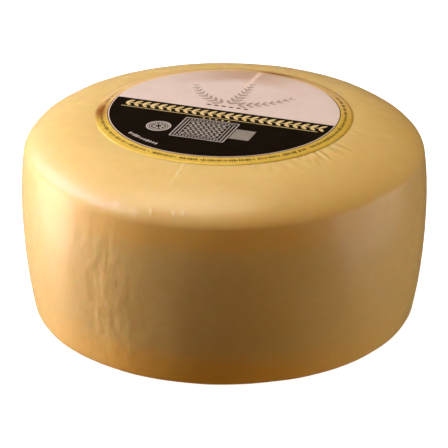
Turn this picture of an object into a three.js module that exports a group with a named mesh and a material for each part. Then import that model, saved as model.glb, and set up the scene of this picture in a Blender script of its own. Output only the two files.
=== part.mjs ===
// A whole wheel of hard, pale golden cheese, skin-tight in clear shrink film, with a round label on its top.
// Millimetres, +Z up. The flat base lies on z = 0, the middle is on the Z axis and the front faces -Y.

import * as THREE from "three";

// Driving dimensions of the wheel
const WHEEL_RADIUS = 125; // at the widest level of its barrel wall
const WHEEL_HEIGHT = 127.2;
const WIDEST_LEVEL = 70;
const BASE_INSET = 5.7; // how far the wall has drawn in where it meets the base edge
const BASE_EDGE_WIDTH = 20.7;
const BASE_EDGE_HEIGHT = 5.6;
const TOP_INSET = 2.5; // how far the wall has drawn in where it meets the shoulder
const SHOULDER_WIDTH = 53; // the long soft slope between the flat top and the wall
const SHOULDER_DEPTH = 21.5;

// The middle of the top stands a little higher, and the label's edge drapes over the rim of this crown.
const CROWN_HEIGHT = 1.3;
const CROWN_RADIUS = 68.5; // where the crown starts to fall
const CROWN_EDGE = 79.5; // where it has run out into the shoulder

// Shapes of the two edge curves: the length of each handle as a share of the edge's own width or height
const ROUND_PULL = 0.55;
const SHOULDER_WALL_PULL = 0.53;
const SHOULDER_FLAT_PULL = 0.52;

// Driving dimensions of the label
const LABEL_RADIUS = 78.5;
const LABEL_THICKNESS = 0.5;
const LABEL_GAP = 0.3;
const LABEL_MIDDLE_RING = 42; // radius of the one ring of points inside the flat top

// Fineness of the turned surfaces
const SIDES_AROUND = 90;
const BASE_EDGE_STEPS = 5;
const WALL_STEPS = 5; // on each side of the widest level
const SHOULDER_STEPS = 15;

// The wheel isn't turned true: long soft waves run round it, and each turns a little from base to top.
// count is the number of waves round the wheel, size is in millimetres and twist is in radians.
const WALL_WAVES = [
  { count: 2, size: 0.3, turn: 1.6, twist: 0.5 },
  { count: 3, size: 0.25, turn: 1.5, twist: -0.7 },
  { count: 5, size: 0.15, turn: 4.7, twist: 0.9 },
  { count: 8, size: 0.1, turn: 1.4, twist: -1.8 },
];
const TOP_WAVES = [
  { count: 1, size: 0.3, turn: 1.6 },
  { count: 3, size: 0.25, turn: 4.7 },
  { count: 4, size: 0.15, turn: 1.5 },
];

// Shallow hollows pressed into the wall. angle is in degrees from +X, the sizes are in millimetres.
const WALL_DENTS = [
  { angle: 231, level: 34, depth: 0.5, width: 11, height: 24 },
  { angle: 250, level: 42, depth: 0.5, width: 12, height: 26 },
  { angle: 318, level: 58, depth: 0.6, width: 22, height: 20 },
  { angle: 28, level: 50, depth: 0.9, width: 18, height: 26 },
  { angle: 112, level: 74, depth: 0.7, width: 24, height: 18 },
  { angle: 160, level: 30, depth: 0.8, width: 15, height: 22 },
];

const point = (radius, level) => new THREE.Vector2(radius, level);

// A point of the top's outline, raised by the crown.
function crowned(p) {
  return point(p.x, p.y + CROWN_HEIGHT * (1 - THREE.MathUtils.smoothstep(p.x, CROWN_RADIUS, CROWN_EDGE)));
}

// Half of the wheel's outline, from the middle of the base out and up to the middle of the top.
function wheelOutline() {
  const baseCorner = point(WHEEL_RADIUS - BASE_INSET, BASE_EDGE_HEIGHT);
  const flatLevel = WHEEL_HEIGHT - CROWN_HEIGHT;
  const topCorner = point(WHEEL_RADIUS - TOP_INSET, flatLevel - SHOULDER_DEPTH);
  const widest = point(WHEEL_RADIUS, WIDEST_LEVEL);
  const baseFlat = point(baseCorner.x - BASE_EDGE_WIDTH, 0);
  const topFlat = point(topCorner.x - SHOULDER_WIDTH, flatLevel);

  // A parabola's end tangents meet half way along its height, so these points also aim the edge curves.
  const lowerBulge = point(WHEEL_RADIUS, (baseCorner.y + widest.y) / 2);
  const upperBulge = point(WHEEL_RADIUS, (widest.y + topCorner.y) / 2);
  const wallDown = baseCorner.clone().sub(lowerBulge).setLength(ROUND_PULL * BASE_EDGE_HEIGHT);
  const wallUp = topCorner.clone().sub(upperBulge).setLength(SHOULDER_WALL_PULL * SHOULDER_DEPTH);

  const baseEdge = new THREE.CubicBezierCurve(
    baseFlat,
    point(baseFlat.x + ROUND_PULL * BASE_EDGE_WIDTH, 0),
    baseCorner.clone().add(wallDown),
    baseCorner,
  );
  const lowerWall = new THREE.QuadraticBezierCurve(baseCorner, lowerBulge, widest);
  const upperWall = new THREE.QuadraticBezierCurve(widest, upperBulge, topCorner);
  const shoulder = new THREE.CubicBezierCurve(
    topCorner,
    topCorner.clone().add(wallUp),
    point(topFlat.x + SHOULDER_FLAT_PULL * SHOULDER_WIDTH, flatLevel),
    topFlat,
  );
  const flatTop = [point(LABEL_MIDDLE_RING, flatLevel), point(0, flatLevel)];
  return [
    point(0, 0),
    ...baseEdge.getPoints(BASE_EDGE_STEPS),
    ...lowerWall.getPoints(WALL_STEPS).slice(1),
    ...upperWall.getPoints(WALL_STEPS).slice(1),
    ...shoulder.getPoints(SHOULDER_STEPS).slice(1).map(crowned),
    ...flatTop.map(crowned),
  ];
}

// The part of the wheel's outline that the label covers, from its edge in to the middle.
function coveredOutline(outline) {
  const inner = outline.filter((p) => p.y > WIDEST_LEVEL && p.x < LABEL_RADIUS);
  const outer = outline[outline.indexOf(inner[0]) - 1];
  const share = (LABEL_RADIUS - outer.x) / (inner[0].x - outer.x);
  return [outer.clone().lerp(inner[0], share), ...inner];
}

// The label's own outline: its underside lies a hair above the wheel's top all over.
function labelOutline(outline) {
  const covered = coveredOutline(outline);
  const raised = (height) => covered.map((p) => point(p.x, p.y + height));
  return [...raised(LABEL_GAP).reverse(), ...raised(LABEL_GAP + LABEL_THICKNESS)];
}

const waveAt = (wave, angle, turned) => wave.size * Math.cos(wave.count * angle + wave.turn + turned);

// How far the wall stands out of true at an angle and a level.
function wallOffset(angle, level) {
  const rise = level / WHEEL_HEIGHT;
  let offset = 0;
  for (const wave of WALL_WAVES) {
    offset += waveAt(wave, angle, wave.twist * rise);
  }
  for (const dent of WALL_DENTS) {
    const turn = angle - THREE.MathUtils.degToRad(dent.angle);
    const along = WHEEL_RADIUS * Math.atan2(Math.sin(turn), Math.cos(turn));
    const up = level - dent.level;
    offset -= dent.depth * Math.exp(-((along / dent.width) ** 2) - (up / dent.height) ** 2);
  }
  return offset;
}

// How far the top stands out of level, growing from nothing in the middle to its full size at the shoulder.
function topOffset(angle, radius) {
  const reach = Math.min(radius / WHEEL_RADIUS, 1) ** 2;
  return reach * TOP_WAVES.reduce((sum, wave) => sum + waveAt(wave, angle, 0), 0);
}

// Gives a turned surface the wheel's unevenness. The base stays flat, and the middle of the top stays put.
function unevenly(geometry) {
  const places = geometry.getAttribute("position");
  const place = new THREE.Vector3();
  for (let i = 0; i < places.count; i += 1) {
    place.fromBufferAttribute(places, i);
    const angle = Math.atan2(place.y, place.x);
    const radius = Math.hypot(place.x, place.y);
    const growth = 1 + wallOffset(angle, place.z) / WHEEL_RADIUS;
    const rise = (place.z / WHEEL_HEIGHT) ** 4;
    places.setXYZ(i, place.x * growth, place.y * growth, place.z + rise * topOffset(angle, radius));
  }
  geometry.computeVertexNormals();
  return geometry;
}

// A surface turned about the Z axis from its outline.
function turned(outline) {
  return unevenly(new THREE.LatheGeometry(outline, SIDES_AROUND).rotateX(Math.PI / 2));
}

function namedMesh(name, geometry, material) {
  const mesh = new THREE.Mesh(geometry, material);
  mesh.name = name;
  return mesh;
}

const rind = new THREE.MeshStandardMaterial({ color: 0xe6bf78, roughness: 0.32, metalness: 0 });
const print = new THREE.MeshStandardMaterial({ color: 0xd9c2a6, roughness: 0.4, metalness: 0 });

const outline = wheelOutline();
const wheel = namedMesh("wheel", turned(outline), rind);
const label = namedMesh("label", turned(labelOutline(outline)), print);

// The waves move the wall a little to one side, so the group is set back to put its middle on the Z axis.
const cheese = new THREE.Group();
cheese.add(wheel, label);
const middle = new THREE.Box3().setFromObject(cheese, true).getCenter(new THREE.Vector3());
cheese.position.set(-middle.x, -middle.y, 0);

export default cheese;
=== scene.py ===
"""A whole wheel of hard, pale golden cheese, skin-tight in clear shrink film, with a round label on its top.

Metres, +Z up. The flat base lies on z = 0, the middle is on the Z axis and the front faces -Y. The label
carries plain fields of colour and generic ornament: a leaf border, a rosette, a lattice panel and sprigs.
"""

import logging
import math
from collections.abc import Callable, Sequence
from dataclasses import dataclass, field
from enum import Enum
from typing import Any

import bmesh
import bpy
import numpy as np
from bpy.types import Material, Mesh, Object
from mathutils import Matrix, Quaternion, Vector


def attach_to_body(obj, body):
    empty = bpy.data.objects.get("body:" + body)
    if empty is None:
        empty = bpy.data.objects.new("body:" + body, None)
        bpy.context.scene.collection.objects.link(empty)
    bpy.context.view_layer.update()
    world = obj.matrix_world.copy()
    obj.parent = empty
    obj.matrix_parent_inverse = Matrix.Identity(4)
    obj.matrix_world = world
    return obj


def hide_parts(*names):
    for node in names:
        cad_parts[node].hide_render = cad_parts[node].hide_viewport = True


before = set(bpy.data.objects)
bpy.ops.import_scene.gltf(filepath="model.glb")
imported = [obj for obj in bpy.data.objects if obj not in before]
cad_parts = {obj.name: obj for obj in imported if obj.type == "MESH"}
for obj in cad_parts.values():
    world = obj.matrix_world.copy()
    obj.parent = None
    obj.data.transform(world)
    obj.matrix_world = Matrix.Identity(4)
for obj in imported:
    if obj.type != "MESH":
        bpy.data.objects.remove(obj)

LOG = logging.getLogger("cheese")
MM = 0.001
TURN = 2 * math.pi
BODY = "root"
FRONT = -90.0
WELD_DISTANCE = 0.002 * MM
RAY_START = 1.0
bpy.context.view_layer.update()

Colour = tuple[float, float, float, float]
Spot = tuple[float, float]
Line = tuple[Spot, Spot]

WHITE: Colour = (1.0, 1.0, 1.0, 1.0)


def shown(red: int, green: int, blue: int) -> Colour:
    """Turns a colour as a screen shows it, 0 to 255, into the linear colour that a shader takes."""
    shares = [value / 255 for value in (red, green, blue)]
    return (*(s / 12.92 if s <= 0.04045 else ((s + 0.055) / 1.055) ** 2.4 for s in shares), 1.0)


# Node trees

def operator(operation: str, swapped: bool = False) -> Callable[["Field", "Number"], "Field"]:
    """Makes the method behind one of a field's operators.

    Args:
        operation: The Math node's operation.
        swapped: Whether the field stands on the operator's right.

    Returns:
        The method.
    """

    def method(this: "Field", other: "Number") -> "Field":
        """Adds the Math node."""
        pair = (other, this) if swapped else (this, other)
        return this.graph.maths(operation, *pair)

    return method


class Field:
    """What a node's socket gives. On numbers, Python's operators add the Math nodes."""

    def __init__(self, graph: "Graph", socket: bpy.types.NodeSocket) -> None:
        """Holds the socket and the graph that it is in."""
        self.graph = graph
        self.socket = socket

    def beside(self, name: str | int) -> "Field":
        """Returns another output of the same node."""
        return Field(self.graph, self.socket.node.outputs[name])

    __add__ = operator("ADD")
    __radd__ = operator("ADD", swapped=True)
    __sub__ = operator("SUBTRACT")
    __rsub__ = operator("SUBTRACT", swapped=True)
    __mul__ = operator("MULTIPLY")
    __rmul__ = operator("MULTIPLY", swapped=True)
    __truediv__ = operator("DIVIDE")
    __rtruediv__ = operator("DIVIDE", swapped=True)
    __pow__ = operator("POWER")
    __rpow__ = operator("POWER", swapped=True)
    __mod__ = operator("FLOORED_MODULO")
    __rmod__ = operator("FLOORED_MODULO", swapped=True)
    at_least = operator("MAXIMUM")
    at_most = operator("MINIMUM")

    def __neg__(self) -> "Field":
        """Changes the sign."""
        return self * -1.0

    def cos(self) -> "Field":
        """Returns the cosine."""
        return self.graph.maths("COSINE", self)

    def sin(self) -> "Field":
        """Returns the sine."""
        return self.graph.maths("SINE", self)

    def root(self) -> "Field":
        """Returns the square root."""
        return self.graph.maths("SQRT", self)

    def size(self) -> "Field":
        """Returns the number without its sign."""
        return self.graph.maths("ABSOLUTE", self)

    def sharpened(self, power: "Number") -> "Field":
        """Raises the size of the number to a power and keeps its sign."""
        return self.graph.maths("SIGN", self) * self.size() ** power

    def bell(self, width: "Number") -> "Field":
        """Returns a bell curve of the number: 1 at zero, and 1/e at the width."""
        share = self / width
        return self.graph.maths("EXPONENT", -(share * share))

    def step(self, low: float, high: float) -> "Field":
        """Makes a soft step from 0 to 1.

        Args:
            low: The number at which it is 0.
            high: The number at which it is 1, above or below low.

        Returns:
            The step.
        """
        if low > high:
            return 1.0 - self.step(high, low)
        settings = {"interpolation_type": "SMOOTHSTEP"}
        return self.graph.field("ShaderNodeMapRange", settings, {0: self, 1: low, 2: high})


Number = float | Field


class Graph:
    """A node tree in the making. Every node comes from node(), and the other methods are its common uses."""

    def __init__(self, tree: bpy.types.NodeTree) -> None:
        """Holds the tree."""
        self.tree = tree

    def node(
        self, kind: str, settings: dict[str, Any] | None = None, inputs: dict[str | int, Any] | None = None
    ) -> bpy.types.Node:
        """Adds a node, sets its settings and then feeds its sockets.

        Args:
            kind: The node's type.
            settings: The node's own properties.
            inputs: A value or a field for each socket, by the socket's name or number.

        Returns:
            The node.
        """
        made = self.tree.nodes.new(kind)
        for name, value in (settings or {}).items():
            setattr(made, name, value)
        for key, value in (inputs or {}).items():
            if isinstance(value, Field):
                self.tree.links.new(value.socket, made.inputs[key])
            else:
                made.inputs[key].default_value = value
        return made

    def field(
        self,
        kind: str,
        settings: dict[str, Any] | None = None,
        inputs: dict[str | int, Any] | None = None,
        output: str | int = 0,
    ) -> Field:
        """Adds a node as node() does, and returns one of its outputs."""
        return Field(self, self.node(kind, settings, inputs).outputs[output])

    def maths(self, operation: str, *values: Number) -> Field:
        """Adds a Math node."""
        return self.field("ShaderNodeMath", {"operation": operation}, dict(enumerate(values)))

    def vector(self, x: Number, y: Number, z: Number) -> Field:
        """Makes a vector of three numbers."""
        return self.field("ShaderNodeCombineXYZ", {}, {0: x, 1: y, 2: z})

    def parts(self, vector: Field) -> tuple[Field, Field, Field]:
        """Splits a vector into its three numbers."""
        x = self.field("ShaderNodeSeparateXYZ", {}, {0: vector})
        return x, x.beside(1), x.beside(2)

    def scaled(self, vector: Field, factor: Any) -> Field:
        """Multiplies a vector by a number, or axis by axis.

        Args:
            vector: The vector.
            factor: One number, a field or three numbers.

        Returns:
            The vector.
        """
        if isinstance(factor, tuple):
            return self.field("ShaderNodeVectorMath", {"operation": "MULTIPLY"}, {0: vector, 1: factor})
        return self.field("ShaderNodeVectorMath", {"operation": "SCALE"}, {0: vector, "Scale": factor})

    def noise(self, vector: Field, cell: float, detail: float = 2.0, rough: float = 0.5) -> Field:
        """Adds noise from about -1 to 1 whose coarsest cells have the given size in metres."""
        inputs = {"Vector": vector, "Scale": 1 / cell, "Detail": detail, "Roughness": rough}
        return self.field("ShaderNodeTexNoise", {}, inputs) * 2.0 - 1.0

    def blend(self, factor: Number, first: Any, second: Any) -> Field:
        """Mixes two colours."""
        settings = {"data_type": "RGBA", "clamp_factor": True}
        return self.field("ShaderNodeMix", settings, {0: factor, 6: first, 7: second}, output=2)


class Place:
    """Where a point is: its coordinates, its angle round the Z axis and its distance from it."""

    def __init__(self, graph: Graph, position: Field) -> None:
        """Works the coordinates out of a position.

        Args:
            graph: The tree that the position is in.
            position: The position's vector.
        """
        self.vector = position
        self.x, self.y, self.z = graph.parts(position)
        self.angle = graph.maths("ARCTAN2", self.y, self.x)
        self.radius = (self.x * self.x + self.y * self.y).root()
        self._graph = graph

    def turned_from(self, degrees: float) -> Field:
        """Returns the angle from a direction, in radians from -pi to pi."""
        return self._graph.maths("WRAP", self.angle - math.radians(degrees), math.pi, -math.pi)

    def facing(self, degrees: float, half_angle: float) -> Field:
        """Returns a bell curve round a direction: 1 along it, and 1/e at the half angle from it."""
        return self.turned_from(degrees).bell(math.radians(half_angle))

    def off_line(self, start: Spot, end: Spot) -> Field:
        """Works out the distance, seen from above, to the line between two spots.

        Args:
            start: One spot.
            end: The other spot.

        Returns:
            The distance in metres.
        """
        run = Vector(end) - Vector(start)
        from_x = self.x - start[0]
        from_y = self.y - start[1]
        share = ((from_x * run.x + from_y * run.y) / run.length_squared).at_least(0.0).at_most(1.0)
        off_x = from_x - share * run.x
        off_y = from_y - share * run.y
        return (off_x * off_x + off_y * off_y).root()


class InputKind(Enum):
    """The kinds of named inputs that a Geometry Nodes tree takes."""

    GEOMETRY = "NodeSocketGeometry"
    NUMBER = "NodeSocketFloat"
    COUNT = "NodeSocketInt"
    THING = "NodeSocketObject"
    FINISH = "NodeSocketMaterial"


class ShapeTree(Graph):
    """A Geometry Nodes tree with named inputs, which makes one plain mesh each time it is used."""

    def __init__(self, name: str) -> None:
        """Starts a tree with a base shape and a finish as its first inputs.

        Args:
            name: The tree's name.
        """
        super().__init__(bpy.data.node_groups.new(name, "GeometryNodeTree"))
        self.tree.interface.new_socket("Shape", in_out="OUTPUT", socket_type=InputKind.GEOMETRY.value)
        self._start = self.tree.nodes.new("NodeGroupInput")
        self._names: dict[str, str] = {}
        self.base = self.named("Base", InputKind.GEOMETRY)
        self.finish = self.named("Finish", InputKind.FINISH)

    def named(self, name: str, kind: InputKind = InputKind.NUMBER) -> Field:
        """Adds a named input to the tree.

        Args:
            name: The input's name.
            kind: What it takes.

        Returns:
            The input as a field.
        """
        made = self.tree.interface.new_socket(name, in_out="INPUT", socket_type=kind.value)
        self._names[name] = made.identifier
        return Field(self, self._start.outputs[name])

    def position(self) -> Field:
        """Returns the position of each point."""
        return self.field("GeometryNodeInputPosition")

    def moved(self, shape: Field, position: Field) -> Field:
        """Moves each point of a shape to a position."""
        return self.field("GeometryNodeSetPosition", {}, {"Geometry": shape, "Position": position})

    def pushed(self, shape: Field, offset: Field) -> Field:
        """Moves each point of a shape by an offset."""
        return self.field("GeometryNodeSetPosition", {}, {"Geometry": shape, "Offset": offset})

    def realized(self, shape: Field) -> Field:
        """Makes the instances of a shape real."""
        return self.field("GeometryNodeRealizeInstances", {}, {0: shape})

    def close(self, shape: Field, smooth: bool = True) -> None:
        """Ends the tree with its instances made real and its finish set.

        Args:
            shape: The finished shape.
            smooth: Whether its faces are shaded as one smooth surface.
        """
        shading = {0: self.realized(shape), "Shade Smooth": smooth}
        shaded = self.field("GeometryNodeSetShadeSmooth", {}, shading)
        dressed = self.field("GeometryNodeSetMaterial", {}, {"Geometry": shaded, "Material": self.finish})
        self.node("NodeGroupOutput", {}, {0: dressed})

    def mesh(self, name: str, base: Mesh, values: dict[str, Any]) -> Mesh:
        """Runs the tree on a base mesh.

        Args:
            name: The new mesh's name.
            base: The mesh that the tree starts from.
            values: A value for each named input.

        Returns:
            The plain mesh.
        """
        carrier = new_object(name + "_carrier", base)
        modifier = carrier.modifiers.new("Shape", "NODES")
        modifier.node_group = self.tree
        for key, value in values.items():
            modifier[self._names[key]] = value
        graph = bpy.context.evaluated_depsgraph_get()
        made = bpy.data.meshes.new_from_object(carrier.evaluated_get(graph), depsgraph=graph)
        made.name = name
        made.materials.clear()
        made.materials.append(values["Finish"])
        bpy.data.objects.remove(carrier)
        return made


# Meshes

def new_object(name: str, data: bpy.types.ID) -> Object:
    """Puts a mesh, a light or a camera into the scene as an object at the origin.

    Args:
        name: The object's name.
        data: What it shows.

    Returns:
        The object.
    """
    made = bpy.data.objects.new(name, data)
    bpy.context.scene.collection.objects.link(made)
    return made


def edge_mesh(name: str, spots: Sequence[Spot], closed: bool = False) -> Mesh:
    """Makes a chain of edges in the XY plane.

    Args:
        name: The mesh's name.
        spots: The points of the chain.
        closed: Whether it ends where it starts.

    Returns:
        The mesh.
    """
    edges = [(i, i + 1) for i in range(len(spots) - 1)]
    if closed:
        edges.append((len(spots) - 1, 0))
    mesh = bpy.data.meshes.new(name)
    mesh.from_pydata([(x, y, 0.0) for x, y in spots], edges, [])
    return mesh


def joined(name: str, meshes: Sequence[Mesh]) -> Object:
    """Joins plain meshes of one finish into one object, and removes them.

    Args:
        name: The object's name.
        meshes: The meshes.

    Returns:
        The object.
    """
    whole = bmesh.new()
    for mesh in meshes:
        whole.from_mesh(mesh)
    made = bpy.data.meshes.new(name)
    whole.to_mesh(made)
    whole.free()
    made.materials.append(meshes[0].materials[0])
    for mesh in meshes:
        bpy.data.meshes.remove(mesh)
    return new_object(name, made)


def bezier(corners: Sequence[Spot], steps: int) -> list[Spot]:
    """Follows a Bezier curve of any degree.

    Args:
        corners: Its control points.
        steps: How many steps it takes.

    Returns:
        The points after the first one, up to the last.
    """
    points = []
    for i in range(1, steps + 1):
        share = i / steps
        level = [Vector(corner) for corner in corners]
        while len(level) > 1:
            level = [a.lerp(b, share) for a, b in zip(level, level[1:])]
        points.append((level[0].x, level[0].y))
    return points


# The wheel's form

@dataclass(frozen=True)
class Wave:
    """A soft wave round the wheel. Its turn and its twist from base to top are in radians."""

    count: int
    size: float
    turn: float
    twist: float = 0.0


@dataclass(frozen=True)
class Dent:
    """A shallow hollow pressed into the wall. Its angle is in degrees from +X."""

    angle: float
    level: float
    depth: float
    width: float
    height: float


@dataclass(frozen=True)
class WheelForm:
    """The turned outline of the wheel, and how far the wheel stands out of true."""

    radius: float = 125 * MM
    height: float = 127.2 * MM
    widest_level: float = 70 * MM
    base_inset: float = 5.7 * MM
    base_edge_width: float = 20.7 * MM
    base_edge_height: float = 5.6 * MM
    top_inset: float = 2.5 * MM
    shoulder_width: float = 53 * MM
    shoulder_depth: float = 21.5 * MM
    crown_height: float = 1.3 * MM
    crown_radius: float = 68.5 * MM
    crown_edge: float = 79.5 * MM
    round_pull: float = 0.55
    shoulder_wall_pull: float = 0.53
    shoulder_flat_pull: float = 0.52
    base_rings: int = 8
    base_edge_rings: int = 16
    wall_rings: tuple[int, int] = (36, 20)
    shoulder_rings: int = 68
    top_rings: int = 46
    lift_power: float = 4.0
    lift_reach_power: float = 2.0
    wall_waves: tuple[Wave, ...] = (
        Wave(2, 0.3 * MM, 1.6, 0.5),
        Wave(3, 0.25 * MM, 1.5, -0.7),
        Wave(5, 0.15 * MM, 4.7, 0.9),
        Wave(8, 0.1 * MM, 1.4, -1.8),
    )
    top_waves: tuple[Wave, ...] = (
        Wave(1, 0.3 * MM, 1.6),
        Wave(3, 0.25 * MM, 4.7),
        Wave(4, 0.15 * MM, 1.5),
    )
    dents: tuple[Dent, ...] = (
        Dent(231, 34 * MM, 0.5 * MM, 11 * MM, 24 * MM),
        Dent(250, 42 * MM, 0.5 * MM, 12 * MM, 26 * MM),
        Dent(318, 58 * MM, 0.6 * MM, 22 * MM, 20 * MM),
        Dent(28, 50 * MM, 0.9 * MM, 18 * MM, 26 * MM),
        Dent(112, 74 * MM, 0.7 * MM, 24 * MM, 18 * MM),
        Dent(160, 30 * MM, 0.8 * MM, 15 * MM, 22 * MM),
    )

    def outline(self) -> list[Spot]:
        """Draws half of the outline, as radius and level.

        Returns:
            Its points, from the middle of the base out and up to the middle of the top.
        """
        flat_level = self.height - self.crown_height
        base_corner = Vector((self.radius - self.base_inset, self.base_edge_height))
        top_corner = Vector((self.radius - self.top_inset, flat_level - self.shoulder_depth))
        widest = Vector((self.radius, self.widest_level))
        base_flat = Vector((base_corner.x - self.base_edge_width, 0.0))
        top_flat = Vector((top_corner.x - self.shoulder_width, flat_level))
        lower_bulge = Vector((self.radius, (base_corner.y + widest.y) / 2))
        upper_bulge = Vector((self.radius, (widest.y + top_corner.y) / 2))
        wall_down = (base_corner - lower_bulge).normalized() * self.round_pull * self.base_edge_height
        wall_up = (top_corner - upper_bulge).normalized() * self.shoulder_wall_pull * self.shoulder_depth
        base_pull = base_flat + Vector((self.round_pull * self.base_edge_width, 0.0))
        top_pull = top_flat + Vector((self.shoulder_flat_pull * self.shoulder_width, 0.0))
        top = [
            *bezier([top_corner, top_corner + wall_up, top_pull, top_flat], self.shoulder_rings),
            *bezier([top_flat, (0.0, flat_level)], self.top_rings),
        ]
        return [
            (0.0, 0.0),
            *bezier([(0.0, 0.0), base_flat], self.base_rings),
            *bezier([base_flat, base_pull, base_corner + wall_down, base_corner], self.base_edge_rings),
            *bezier([base_corner, lower_bulge, widest], self.wall_rings[0]),
            *bezier([widest, upper_bulge, top_corner], self.wall_rings[1]),
            *[self._crowned(*spot) for spot in top],
        ]

    def _crowned(self, radius: float, level: float) -> Spot:
        """Raises a spot of the top's outline by the crown in the middle of the top."""
        share = min(max((radius - self.crown_radius) / (self.crown_edge - self.crown_radius), 0.0), 1.0)
        return radius, level + self.crown_height * (1 - share * share * (3 - 2 * share))

    def top_level(self, radius: float) -> float:
        """Looks up the level of the true, unwaved top at a radius.

        Args:
            radius: The distance from the middle of the top.

        Returns:
            The level.
        """
        upper = sorted(spot for spot in self.outline() if spot[1] > self.widest_level)
        radii, levels = zip(*upper)
        return float(np.interp(radius, radii, levels))

    def unevenly(self, tree: ShapeTree, shape: Field) -> Field:
        """Gives a shape the wheel's waves and dents. The base stays flat and the top's middle stays put.

        Args:
            tree: The tree that the shape is in.
            shape: The shape, turned true.

        Returns:
            The uneven shape.
        """
        place = Place(tree, tree.position())
        rise = place.z / self.height
        growth = 1.0 + self._wall_offset(place, rise) / self.radius
        reach = (place.radius / self.radius).at_most(1.0) ** self.lift_reach_power
        lift = rise ** self.lift_power * reach * self._waves(place, self.top_waves, 0.0)
        return tree.moved(shape, tree.vector(place.x * growth, place.y * growth, place.z + lift))

    def _wall_offset(self, place: Place, rise: Field) -> Field:
        """Works out how far the wall stands out of true.

        Args:
            place: Where the point is.
            rise: Its level as a share of the height.

        Returns:
            The offset in metres.
        """
        offset = self._waves(place, self.wall_waves, rise)
        for dent in self.dents:
            along = place.turned_from(dent.angle) * self.radius
            up = place.z - dent.level
            offset = offset - dent.depth * along.bell(dent.width) * up.bell(dent.height)
        return offset

    @staticmethod
    def _waves(place: Place, waves: Sequence[Wave], rise: Number) -> Field:
        """Adds up some waves.

        Args:
            place: Where the point is.
            waves: The waves.
            rise: Its level as a share of the height.

        Returns:
            Their sum in metres.
        """
        total: Number = 0.0
        for wave in waves:
            phase = place.angle * float(wave.count) + rise * wave.twist + wave.turn
            total = total + phase.cos() * wave.size
        return total


class TurnedTree(ShapeTree):
    """Turns an outline about the Z axis, makes it uneven as the wheel is, and lays a skin on it."""

    def __init__(self, name: str, form: WheelForm) -> None:
        """Builds the tree up to its skin.

        Args:
            name: The tree's name.
            form: The wheel's form.
        """
        super().__init__(name)
        self.sides = self.named("Sides", InputKind.COUNT)
        self.lift = self.named("Lift")
        counter = {"component": "MESH"}
        points = self.field("GeometryNodeAttributeDomainSize", counter, {"Geometry": self.base})
        size = {"Vertices X": self.sides + 1.0, "Vertices Y": points}
        grid = self.field("GeometryNodeMeshGrid", {}, size)
        index = self.field("GeometryNodeInputIndex")
        reader = {"data_type": "FLOAT_VECTOR", "domain": "POINT"}
        source = {"Geometry": self.base, "Value": self.position(), "Index": index % points}
        radius, level, _ = self.parts(self.field("GeometryNodeSampleIndex", reader, source))
        angle = self.maths("FLOOR", (index + 0.5) / points) * TURN / self.sides
        turned = self.moved(grid, self.vector(radius * angle.cos(), radius * angle.sin(), level))
        weld = {"Geometry": turned, "Distance": WELD_DISTANCE}
        welded = self.field("GeometryNodeMergeByDistance", {}, weld)
        self.uneven = form.unevenly(self, welded)

    def skinned(self, height: Number) -> Field:
        """Moves the uneven surface outwards by the tree's own lift and a height beyond it."""
        normal = self.field("GeometryNodeInputNormal")
        return self.pushed(self.uneven, self.scaled(normal, self.lift + height))

    def turned(
        self, name: str, outline: Sequence[Spot], finish: Material, sides: int, lift: float = 0.0
    ) -> Mesh:
        """Turns an outline, as radius and level, into a mesh with a finish."""
        values = {"Finish": finish, "Sides": sides, "Lift": lift}
        return self.mesh(name, edge_mesh(name + "_outline", outline), values)


@dataclass(frozen=True)
class Fold:
    """A fine fold of the film on the shoulder, seen from above, in millimetres."""

    start: Spot
    end: Spot
    width: float
    height: float

    def stands_out(self, place: Place) -> Field:
        """Returns how far the fold stands out at a place, in metres."""
        start, end = (tuple(value * MM for value in spot) for spot in (self.start, self.end))
        return place.off_line(start, end).bell(self.width * MM) * (self.height * MM)


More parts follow.
